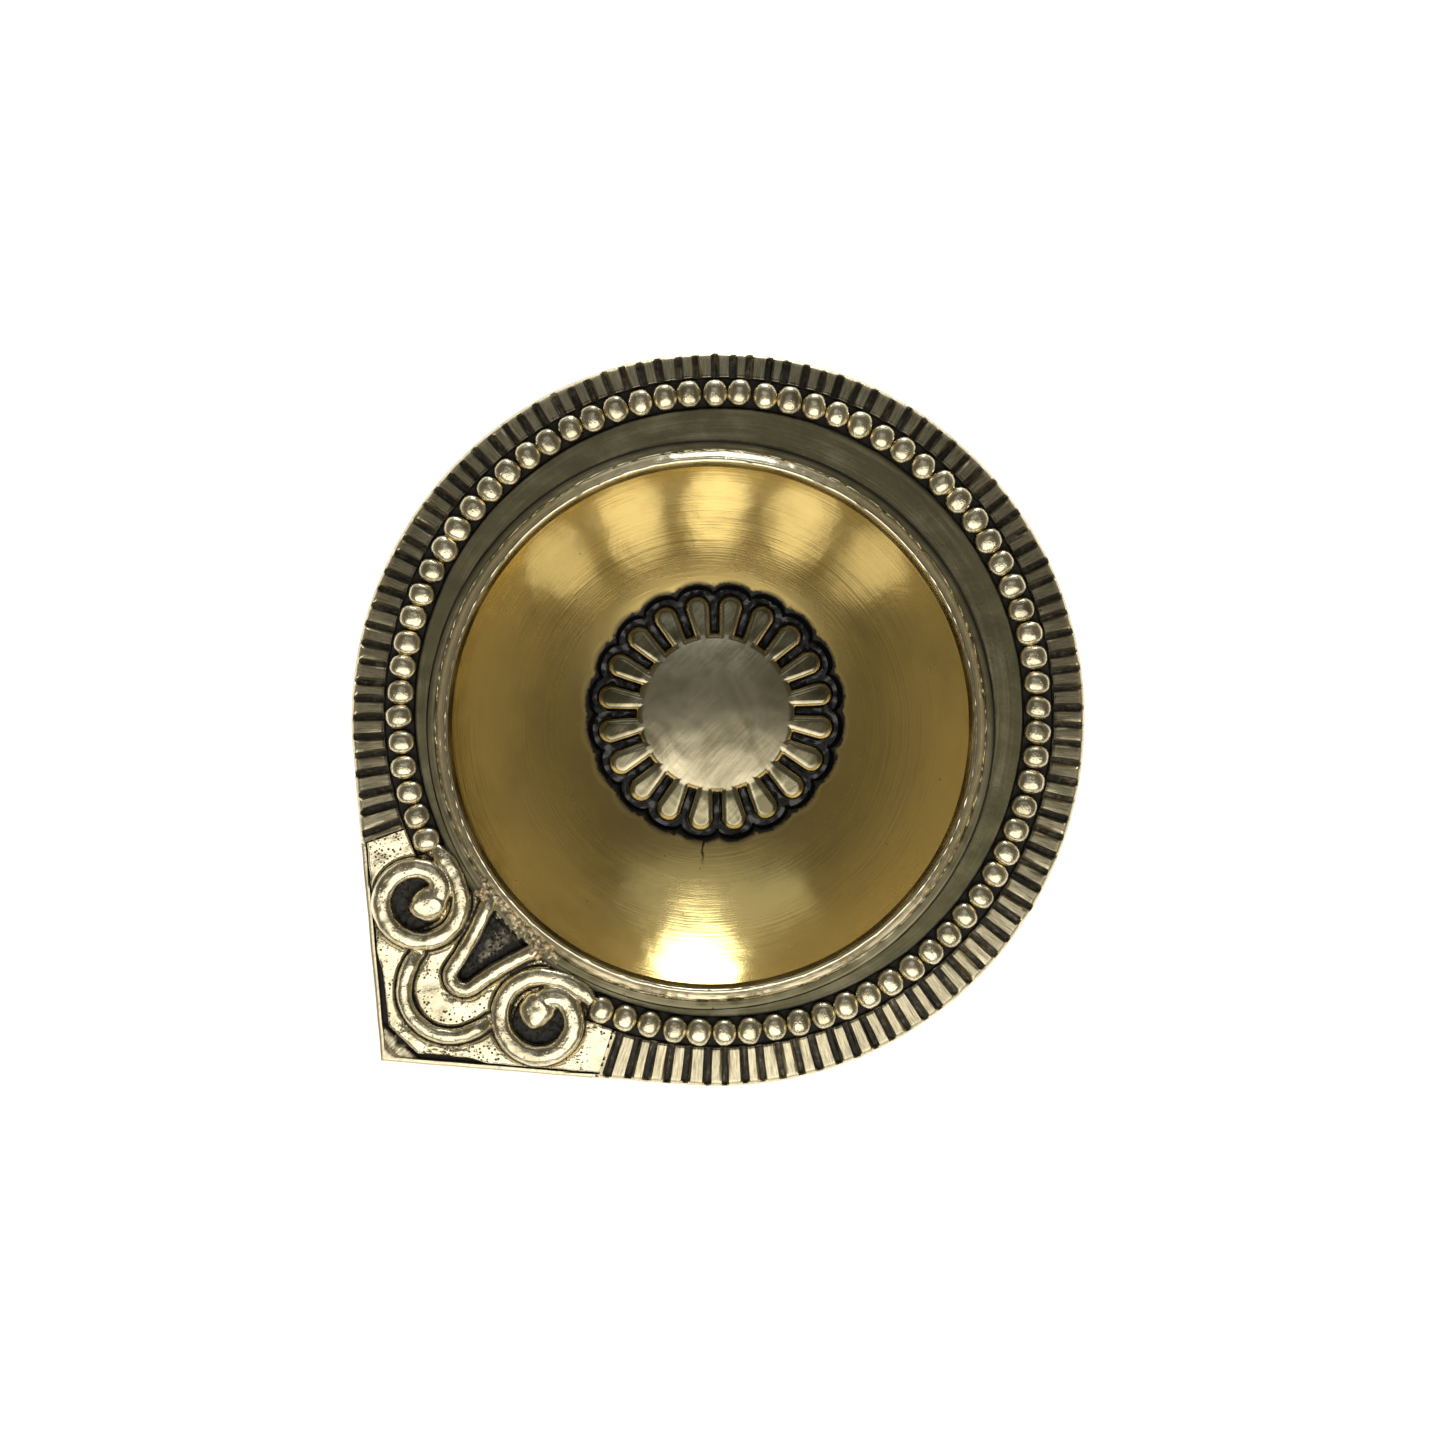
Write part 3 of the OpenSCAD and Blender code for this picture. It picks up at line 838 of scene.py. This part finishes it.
def plate_span(direction):
    """The plate's inner and outer edge in a direction."""
    inner = CHANNEL_OUT_R + 0.05 if spout_angle(direction) > CHANNEL_END else CHANNEL_IN_R
    reach, slant = outline_reach(direction)
    from_tip = (TIP - direction * reach).length
    gap = 0.5 - 0.42 * smooth((from_tip - 8) / 3)
    outer = reach - (PLATE_MARGIN + gap) * slant
    return inner, min(outer, TIP_CUT_Y / direction.y)


def plate_relief(p):
    """Height of the plate's top on the spout's plane, and how hollow it is there."""
    mirrored = Vector((abs(p.x), p.y))
    lines = [(SCROLL_ROUTE.near(mirrored)[0], SCROLL_SIDE), (VEE_ROUTE.near(p)[0], CORD_SIDE),
             (BOW_ROUTE.near(p)[0], CORD_SIDE)]
    beside = min(far - half for far, half in lines)
    groove = smooth(1 - abs(beside - 0.05) / 0.42)
    sunk = smooth((3.6 - (mirrored - COIL_AT).length) / 0.4)
    recess, grime = wick_recess(p)
    here = Vector((p.x, p.y, 5.0))
    stain = smooth((noise.noise(here / 1.8) + 0.38 - 0.3 * beside) / 0.75)
    pits = smooth((noise.noise(here / 0.2) - 0.26 + 0.3 * stain) / 0.3) * stain
    rough = 0.12 * (sunk + recess) * noise.noise(here / 0.5)
    depth = max(GROOVE_DEPTH * groove, 0.6 * sunk, PLATE_RECESS * recess, 0.14 * pits) + rough
    film = 0.22 * stain + 0.3 * smooth((-p.x - 13.0) / 2)
    return -depth, max(groove * 0.9, sunk, grime, pits * 0.7, film)


class DIYA_OT_plate(bpy.types.Operator):
    """Spin the spout's plate as a sector, trim it to the spout, and sink grooves along its cords"""

    bl_idname = "diya.plate"
    bl_label = "Spout plate"

    def execute(self, context):
        rows, steps, thick = 92, 190, 1.2
        half = math.radians(SPOUT_HALF - 0.06)
        profile = [(k / rows, 0.0) for k in range(rows + 1)] + [(1.0, -thick), (0.0, -thick)]
        bm, row = lathe([(1 + r, z) for r, z in profile], steps, sweep=2 * half)
        bmesh.ops.holes_fill(bm, edges=[e for e in bm.edges if e.is_boundary], sides=0)
        to_spout = Matrix.Rotation(-math.pi / 2 - half, 3, "Z")
        bmesh.ops.rotate(bm, cent=(0, 0, 0), matrix=to_spout, verts=bm.verts)
        hollow = bm.verts.layers.float.new("hollow")
        for v in bm.verts:
            direction = v.co.xy.normalized()
            inner, outer = plate_span(direction)
            share = profile[v[row]][0]
            v.co.xy = direction * (inner + share * (outer - inner))
            if v[row] <= rows:
                relief, v[hollow] = plate_relief(v.co.xy)
                edge = min(share, 1 - share) * (outer - inner)
                v.co.z = relief - EDGE_WEAR * smooth((0.15 - edge) / 0.15)
        on_spout(bm)
        roughen(bm, context.scene.diya_sizes.unevenness / MM, 1.6, 5.0)
        metal = cast_finish("pitted_brass", tones().bright, 0.62, 1.0)
        finish_piece("spout_plate_cast", bm, metal, "pitted_brass", "spout_plate")
        return {"FINISHED"}


def scroll_half(run, total, half):
    """Half-width of a scroll: even along its run, then a neck that swells into the eye at its end."""
    left = total - EYE_R - run
    body = half * (min(1.0, 0.65 + run / 4) + 0.15 * smooth((run - 12) / 6)) if left > 0 else 0.0
    return max(body, math.sqrt(max(EYE_R**2 - left**2, 0.15**2)))


def spout_relief(name, bm, slot, node):
    """Finishes a cord that stands on the spout's plane."""
    skin = remeshed(bm, 0.12, 2)
    mark_depth(skin, -0.45, 0.2)
    roughen(skin, 0.06, 0.9, 8.0)
    on_spout(skin)
    metal = cast_finish(name + "_brass", tones().bright, 0.6, 0.35)
    finish_piece(name, skin, metal, slot, node, sharp=60)


class DIYA_OT_scrolls(bpy.types.Operator):
    """Draw out two cords that coil inwards to a round eye, one the mirror of the other"""

    bl_idname = "diya.scrolls"
    bl_label = "Scrolls"

    def execute(self, context):
        width = context.scene.diya_sizes.scroll_width / MM
        lengths = SCROLL_ROUTE.lengths()
        halves = [scroll_half(run, lengths[-1], width / 2) for run in lengths]
        lifts = [min(half, 1.3) * 0.95 / (width / 2) for half in halves]
        for side, name in ((1, "scroll_right"), (-1, "scroll_left")):
            bm = bmesh.new()
            cord_shell(bm, SCROLL_ROUTE.path, halves, lifts)
            eye = bmesh.ops.create_icosphere(bm, subdivisions=4, radius=1.0)["verts"]
            squared(eye)
            place = Matrix.Translation((*EYE_AT, 0)) @ Matrix.Diagonal((EYE_R, EYE_R, EYE_H, 1))
            bmesh.ops.transform(bm, matrix=place, verts=eye)
            bmesh.ops.scale(bm, vec=(side, 1, 1), verts=bm.verts)
            spout_relief(name + "_cord", bm, "bright_brass", name)
        return {"FINISHED"}


class DIYA_OT_cords(bpy.types.Operator):
    """Lay the V round the wick recess and the bow that ties the scrolls"""

    bl_idname = "diya.cords"
    bl_label = "Spout cords"

    def execute(self, context):
        half = context.scene.diya_sizes.cord_width / MM / 2
        cords = ((VEE_ROUTE, "wick_vee", "wick_channel_cord"), (BOW_ROUTE, "spout_bow", "spout_cord"))
        for route, name, node in cords:
            bm = bmesh.new()
            lengths = route.lengths()
            ends = [smooth(0.3 + min(run, lengths[-1] - run) / 2.5) for run in lengths]
            halves = [half * (0.6 + 0.4 * end) for end in ends]
            cord_shell(bm, route.path, halves, [0.85 * end for end in ends])
            spout_relief(name, bm, "bright_brass", node)
        return {"FINISHED"}


# Bowl and rosette -------------------------------------------------------------


def lobed_reach(angle):
    """Edge of the lobed seat in a direction: a shallow round lobe for each petal."""
    pitch = math.tau / PETALS
    off = (angle + pitch / 2) % pitch - pitch / 2
    across = LOBE_AT * math.sin(off)
    lobe = LOBE_AT * math.cos(off) + math.sqrt(max(0.0, LOBE_R**2 - across**2))
    return LOBE_AT + 0.85 + 0.45 * max(0.0, lobe - LOBE_AT)


def sphere_z(p, radius):
    """Height of the bowl's sphere of this radius over a point in plan."""
    return HOLLOW_Z - math.sqrt(radius**2 - (p - BOWL_AT).length_squared)


def bowl_profile():
    """The bowl's section: seat, hollow, crest, collar and outside."""
    seat = [(r, FLOOR_Z) for r in (0.0, 6.0, 12.0, SEAT_R)]
    wall = [(SEAT_R, 11.5), (SEAT_R, 12.5), (SEAT_R + 0.05, 12.8)]
    hollow = [(r, 0.0) for r in spread(SEAT_R + 0.15, LIP_R - 0.3, 56)]
    crest = [(LIP_R - 0.18, LIP_Z - 0.12), (LIP_R - 0.06, LIP_Z - 0.02), (LIP_R + 0.08, LIP_Z),
             (LIP_R + 0.22, LIP_Z - 0.04), (LIP_R + 0.3, LIP_Z - 0.13), (LIP_R + 0.4, LIP_Z - 0.16),
             (28.0, 25.32), (28.25, 25.15), (28.45, 25.02), (28.6, BAND_Z), (28.9, BAND_Z), (29.2, BAND_Z),
             (FITTED_R - 0.02, BAND_Z - 0.04), (FITTED_R, BAND_Z - 0.2), (FITTED_R, 23.8),
             (FITTED_R, SEAT_Z + 0.1), (FITTED_R - 0.1, SEAT_Z), (27.6, SEAT_Z)]
    outside = [(r, 0.0) for r in spread(27.4, 0.0, 40)]
    return seat + wall, hollow, crest, outside


class DIYA_OT_bowl(bpy.types.Operator):
    """Turn the bowl with its crest and collar, and sink the rosette's lobed seat in its floor"""

    bl_idname = "diya.bowl"
    bl_label = "Bowl"

    def execute(self, context):
        seat, inside, crest, outside = bowl_profile()
        profile = seat + inside + crest + outside
        bm, row = lathe(profile, 480, closed=False)
        hollow = bm.verts.layers.float.new("hollow")
        first_inside = len(seat)
        first_crest = first_inside + len(inside)
        first_outside = first_crest + len(crest)
        for v in bm.verts:
            k = v[row]
            if v.co.xy.length < 1e-6:
                v.co.z = FLOOR_Z if k == 0 else sphere_z(Vector((0, 0)), SHELL_R)
                continue
            direction = v.co.xy.normalized()
            r = profile[k][0]
            if k < first_crest:
                lobed = r + lobed_reach(math.atan2(direction.y, direction.x)) - SEAT_R
                round_reach = ring_reach(direction, BOWL_AT, r) if r > 5 else r
                weight = smooth((r - SEAT_R) / 3.5)
                v.co.xy = direction * (lobed + weight * (round_reach - lobed) if r >= SEAT_R else r)
                if k >= first_inside - 1:
                    v.co.z = sphere_z(v.co.xy, HOLLOW_R) + 0.02 * (k == first_inside)
                if k < first_inside:
                    v[hollow] = 1.0
                else:
                    v[hollow] = 0.8 * smooth(1 - (k - first_inside) / 3)
            elif k < first_outside:
                v.co.xy = v.co.xy + BOWL_AT
                v.co.z += 0.07 * noise.noise(v.co / 0.8) if k < first_crest + 10 else 0.0
                v[hollow] = 0.55 * smooth(1 - abs(r - LIP_R - 0.34) / 0.14)
            else:
                v.co.xy = v.co.xy + BOWL_AT * smooth(r / 10)
                v.co.z = sphere_z(v.co.xy, SHELL_R)
        roughen(bm, 0.05, 7.0, 2.0)
        roughen(bm, 0.012, 2.2, 4.0)
        finish_piece("bowl_turned", bm, bowl_finish(), "polished_brass", "bowl", sharp=35)
        return {"FINISHED"}


def petal_inset(p):
    """How far a point in plan is inside the rosette's outline."""
    r = p.length
    pitch = math.tau / PETALS
    off = (math.atan2(p.y, p.x) + pitch / 2) % pitch - pitch / 2
    along, across = r * math.cos(off), abs(r * math.sin(off))
    end = PETAL_TIP_R - PETAL_OUT_W / 2
    half = PETAL_IN_W / 2 + (PETAL_OUT_W - PETAL_IN_W) / 2 * max(0.0, (along - DISC_R) / (end - DISC_R))
    blade = PETAL_OUT_W / 2 - math.hypot(along - end, across) if along > end else half - across
    disc = DISC_R + 0.2 - r
    blend = smooth(0.5 + (disc - blade) / 0.6)
    return blade + blend * (disc - blade) if abs(disc - blade) < 0.3 else max(disc, blade)


def rosette_top(p):
    """Height of the rosette's top: a low dome whose petals fall outwards, rounded at every edge."""
    r = p.length
    dome = DISC_TOP_Z - (DISC_TOP_Z - PETAL_Z) * (r / DISC_R) ** 2
    if r >= DISC_R:
        dome = PETAL_Z - 0.4 * ((r - DISC_R) / (PETAL_TIP_R - DISC_R)) ** 2
    inset = petal_inset(p)
    shoulder = 1 - min(1.0, max(0.0, inset) / 0.8)
    z = dome - 0.7 * (1 - math.sqrt(max(0.0, 1 - shoulder**2)))
    return z + (11.4 - z) * smooth(-inset / 0.16), inset


class DIYA_OT_rosette(bpy.types.Operator):
    """Cast the rosette with its petals, stud and rivet head, and pour the black lac round it"""

    bl_idname = "diya.rosette"
    bl_label = "Rosette and lac"

    def execute(self, context):
        self.rosette()
        self.lac()
        return {"FINISHED"}

    def rosette(self):
        low_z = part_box("rosette")[0].z / MM
        top = [(r, 0.0) for r in spread(0.0, 7.6, 12) + spread(7.75, PETAL_TIP_R + 0.1, 48)]
        head_ball = 5.8
        head = arc_profile(0, low_z + head_ball, head_ball, -54, -90, 8)
        head = [(x, z) for x, z in head if x < HEAD_R]
        under = [(PETAL_TIP_R + 0.1, FLOOR_Z + 0.02), (STUD_R, FLOOR_Z + 0.02), (STUD_R, 4.6), (HEAD_R, 4.6)]
        bm, row = lathe(top + under + head[:-1] + [(0.0, low_z)], 800, closed=False)
        hollow = bm.verts.layers.float.new("hollow")
        crown = bm.verts.layers.float.new("crown")
        for v in bm.verts:
            if v[row] < len(top):
                v.co.z, inset = rosette_top(v.co.xy)
                v[hollow] = smooth(0.1 - inset / 0.2)
                v[crown] = smooth(1 - abs(inset - 0.4) / 0.45)
        roughen(bm, 0.02, 2.0, 11.0)
        finish_piece("rosette_cast", bm, rosette_finish(), "rosette_brass", "rosette")

    def lac(self):
        inner = 7.0
        edge = [(r, LAC_Z) for r in spread(inner, SEAT_R, 30)]
        bm, row = lathe(edge + [(SEAT_R, FLOOR_Z + 0.03), (inner, FLOOR_Z + 0.03)], 600)
        for v in bm.verts:
            direction = v.co.xy.normalized()
            r = v.co.xy.length
            reach = lobed_reach(math.atan2(direction.y, direction.x)) - 0.01
            v.co.xy = direction * (r + (reach - SEAT_R) * smooth((r - 9) / 4))
            if v[row] < len(edge):
                meniscus = smooth(1 - (SEAT_R - r) / 0.45)
                v.co.z += 0.5 * meniscus + 0.16 * noise.noise(v.co / 0.9)
        finish_piece("lac_fill", bm, lac_finish(), "black_lac", "rosette_lac")


class DIYA_OT_solder(bpy.types.Operator):
    """Run the lumpy brazed seam where the bowl meets the spout"""

    bl_idname = "diya.solder"
    bl_label = "Brazed seam"

    def execute(self, context):
        dice = random.Random(3)
        bm = bmesh.new()
        for angle in spread(-102, -79, 190):
            at = turned(dice.uniform(28.2, 29.5), 0, math.radians(angle)) + BOWL_AT
            drop = 0.55 * smooth((at - BOWL_AT).length - 28.2)
            place = Matrix.Translation((at.x, at.y, BAND_Z + 0.22 - drop + dice.uniform(-0.08, 0.08)))
            bmesh.ops.create_icosphere(bm, subdivisions=1, radius=dice.uniform(0.2, 0.36), matrix=place)
        for x, y in SOLDER_DROPS:
            for _ in range(16):
                shift = Vector([dice.uniform(-size, size) for size in (0.7, 0.6, 0.15)])
                place = Matrix.Translation(Vector((x, y, BAND_Z + 0.2)) + shift)
                bmesh.ops.create_icosphere(bm, subdivisions=1, radius=dice.uniform(0.25, 0.5), matrix=place)
        skin = remeshed(bm, 0.09, 2)
        roughen(skin, 0.09, 0.35, 4.0)
        finish_piece("brazed_seam", skin, brazing_finish(), "brazing", "lip_solder")
        return {"FINISHED"}


# Foot -------------------------------------------------------------------------


class DIYA_OT_foot(bpy.types.Operator):
    """Turn the coved foot, seat it on the bowl, and add the rivet's washer"""

    bl_idname = "diya.foot"
    bl_label = "Foot and washer"

    def execute(self, context):
        foot_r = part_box("foot")[1].x / MM
        waist_r, cove_r, waist_z = 14.2, 4.5, 6.5
        inside = [(STUD_R, WEB_Z), (8.0, WEB_Z), (11.4, WEB_Z), (11.75, 5.52), (12.0, 5.35), (18.4, 0.2),
                  (18.6, 0.02), (18.85, 0.0)]
        ring = [(foot_r - 0.35, 0.0), (foot_r - 0.1, 0.1), (foot_r, 0.35), (foot_r, 1.3),
                (foot_r - 0.1, 1.65), (foot_r - 0.45, 1.9), (foot_r - 0.8, 2.0), (19.2, 2.0)]
        cove = arc_profile(waist_r + cove_r, waist_z, cove_r, -90, -180, 16)
        neck = [(14.3, 6.9), (14.7, 7.5), (15.2, 8.2), (15.5, 8.7), (15.6, 9.1), (15.6, 9.8)]
        seat = [(r, 0.0) for r in (15.6, 15.3, 12.0, 7.0, STUD_R)]
        profile = inside + ring + cove + neck + seat
        bm, row = lathe(profile, 256)
        hollow = bm.verts.layers.float.new("hollow")
        for v in bm.verts:
            if v[row] >= len(profile) - len(seat):
                v.co.z = sphere_z(v.co.xy, SHELL_R) - 0.02
            tucked = v[row] < len(inside) - 1 or v[row] > len(inside) + len(ring) + len(cove) + 2
            v[hollow] = 0.55 if tucked else 0.25
        roughen(bm, 0.05, 4.0, 6.0)
        for v in bm.verts:
            v.co.z = max(v.co.z, 0.0)
        metal = cast_finish("foot_brass", tones().gold, 0.5, 0.5)
        finish_piece("foot_turned", bm, metal, "aged_brass", "foot")
        self.washer()
        return {"FINISHED"}

    def washer(self):
        low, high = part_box("rivet_washer")
        out, base, top = high.x / MM, low.z / MM, high.z / MM
        profile = [(STUD_R, base), (out - 0.3, base), (out - 0.08, base + 0.08), (out, base + 0.3),
                   (out, top - 0.02), (STUD_R, top - 0.02)]
        bm, _ = lathe(profile, 96)
        roughen(bm, 0.04, 1.2, 9.0)
        mark_depth(bm, base, top + 3)
        metal = cast_finish("washer_brass", tones().gold, 0.5, 0.4)
        finish_piece("washer_turned", bm, metal, "aged_brass", "rivet_washer")


# Stage ------------------------------------------------------------------------


class DIYA_OT_stage(bpy.types.Operator):
    """Set the floor, the soft lights and the camera"""

    bl_idname = "diya.stage"
    bl_label = "Stage"

    def execute(self, context):
        stage = context.scene.diya_stage
        self.right = Vector((math.cos(stage.turn), math.sin(stage.turn), 0))
        self.up = UP.cross(self.right)
        self.floor()
        self.sky(context)
        warm, cool = (1.0, 0.95, 0.85), (0.92, 0.97, 1.0)
        self.lamp("south", 0, -28, 0.85, 1.0, 0.72, 1.4, warm)
        for swing in spread(-44, 44, 5):
            self.lamp("south_low", swing, -76, 0.9, 0.24, 0.3, 1.08 - 0.0135 * abs(swing), warm)
        self.lamp("north", 0, 62, 0.95, 1.0, 0.4, 0.28, cool)
        self.lamp("north_low", 5, 81, 0.9, 0.3, 0.3, 5.5, cool)
        self.lamp("top", 0, 17, 0.95, 0.4, 0.3, 0.35, cool)
        self.camera(context, stage)
        return {"FINISHED"}

    def floor(self):
        bm = bmesh.new()
        bmesh.ops.create_circle(bm, cap_ends=True, segments=64, radius=3.0)
        bmesh.ops.translate(bm, vec=(0, 0, -0.02 * MM), verts=bm.verts)
        mesh = bpy.data.meshes.new("floor")
        bm.to_mesh(mesh)
        bm.free()
        floor = bpy.data.objects.new("floor", mesh)
        bpy.context.scene.collection.objects.link(floor)
        f = Finish("floor_white")
        mist = f.noise(4.0, 2.0)
        base = f.mix(mist, (0.9, 0.9, 0.9), (0.93, 0.93, 0.92))
        mesh.materials.append(f.surface(base=base, rough=0.9, glow=base, glow_strength=0.95))

    def sky(self, context):
        context.scene.world = bpy.data.worlds.new("studio")
        f = Finish("studio", context.scene.world)
        height = f.parts(f.add("ShaderNodeTexCoord", {}, {}, "Generated"))[2]
        tone = f.mix(height.fade(0.1, 0.6), (0.28, 0.24, 0.155), (0.1, 0.09, 0.07))
        f.end(f.add("ShaderNodeBackground", {}, {"Color": tone, "Strength": 1.0}), "ShaderNodeOutputWorld")

    def lamp(self, name, swing, lean, distance, wide, tall, radiance, tint):
        """A flat soft light facing the lamp, leaned from straight above to the picture's top and swung."""
        light = bpy.data.lights.new(name, "AREA")
        light.shape = "ELLIPSE"
        light.size, light.size_y = wide, tall
        light.energy = radiance * math.pi * wide * tall
        light.color = tint
        lean, swing = math.radians(lean), math.radians(swing)
        way = self.up * math.cos(swing) + self.right * math.sin(swing)
        back = UP * math.cos(lean) + way * math.sin(lean)
        holder = bpy.data.objects.new(name, light)
        holder.matrix_world = self.facing(back * distance, way.cross(UP), back)
        bpy.context.scene.collection.objects.link(holder)

    def facing(self, place, right, back):
        """A matrix at a place whose -Z looks away from back."""
        up = back.cross(right)
        turn = Matrix((right, up, back)).transposed().to_4x4()
        return Matrix.Translation(place) @ turn

    def camera(self, context, stage):
        data = bpy.data.cameras.new("camera")
        camera = bpy.data.objects.new("camera", data)
        context.scene.collection.objects.link(camera)
        data.lens = data.sensor_width * stage.distance / stage.view_width
        data.clip_start = 0.01
        back = UP * math.cos(stage.lean) - self.right * math.sin(stage.lean)
        right = self.up.cross(back)
        target = Vector((*OUTLINE_AT, BAND_Z)) * MM
        camera.matrix_world = self.facing(target + back * stage.distance, right, back)
        context.scene.camera = camera
        context.scene.view_settings.view_transform = "Standard"


class DIYA_PT_panel(bpy.types.Panel):
    """Steps that build the lamp, and the sizes and colours they use"""

    bl_idname = "DIYA_PT_panel"
    bl_label = "Brass diya"
    bl_space_type = "VIEW_3D"
    bl_region_type = "UI"
    bl_category = "Diya"

    def draw(self, context):
        for step in STEPS:
            self.layout.operator(step.bl_idname)
        for group in (context.scene.diya_sizes, context.scene.diya_colours, context.scene.diya_stage):
            for name in group.__annotations__:
                self.layout.prop(group, name)


STEPS = (DIYA_OT_rim, DIYA_OT_beads, DIYA_OT_plate, DIYA_OT_scrolls, DIYA_OT_cords, DIYA_OT_bowl,
         DIYA_OT_rosette, DIYA_OT_solder, DIYA_OT_foot, DIYA_OT_stage)
GROUPS = {"diya_sizes": DiyaSizes, "diya_colours": DiyaColours, "diya_stage": DiyaStage}


def register():
    for name, group in GROUPS.items():
        bpy.utils.register_class(group)
        setattr(bpy.types.Scene, name, bpy.props.PointerProperty(type=group))
    for cls in (*STEPS, DIYA_PT_panel):
        bpy.utils.register_class(cls)


def unregister():
    for cls in reversed((*STEPS, DIYA_PT_panel)):
        bpy.utils.unregister_class(cls)
    for name, group in GROUPS.items():
        delattr(bpy.types.Scene, name)
        bpy.utils.unregister_class(group)


def main():
    register()
    for step in STEPS:
        group, name = step.bl_idname.split(".")
        getattr(getattr(bpy.ops, group), name)()


if __name__ == "__main__":
    main()
